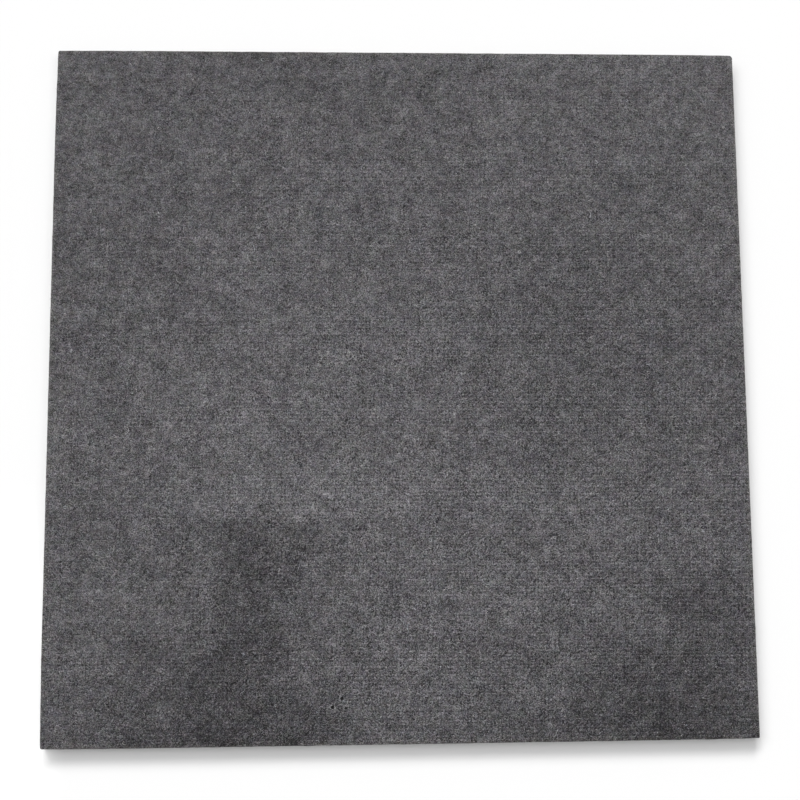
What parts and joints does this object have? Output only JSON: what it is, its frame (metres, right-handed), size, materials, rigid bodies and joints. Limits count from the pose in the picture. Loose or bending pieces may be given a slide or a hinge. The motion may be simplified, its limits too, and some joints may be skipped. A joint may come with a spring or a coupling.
{
  "type": "acoustic panel",
  "caption": "Square dark grey needle-punched felt board that lies flat or is glued to a wall or ceiling to soak up sound, with straight cut edges and a plain face.",
  "frame": {"origin": "middle of the flat back, on the surface that the board lies on", "axes": "+Z out of the face, +X to the right of the face, +Y to its top edge"},
  "size_m": [0.6, 0.6, 0.012],
  "materials": {
    "felt": "matte"
  },
  "bodies": {
    "root": {"felt_board": "felt"}
  },
  "joints": []
}
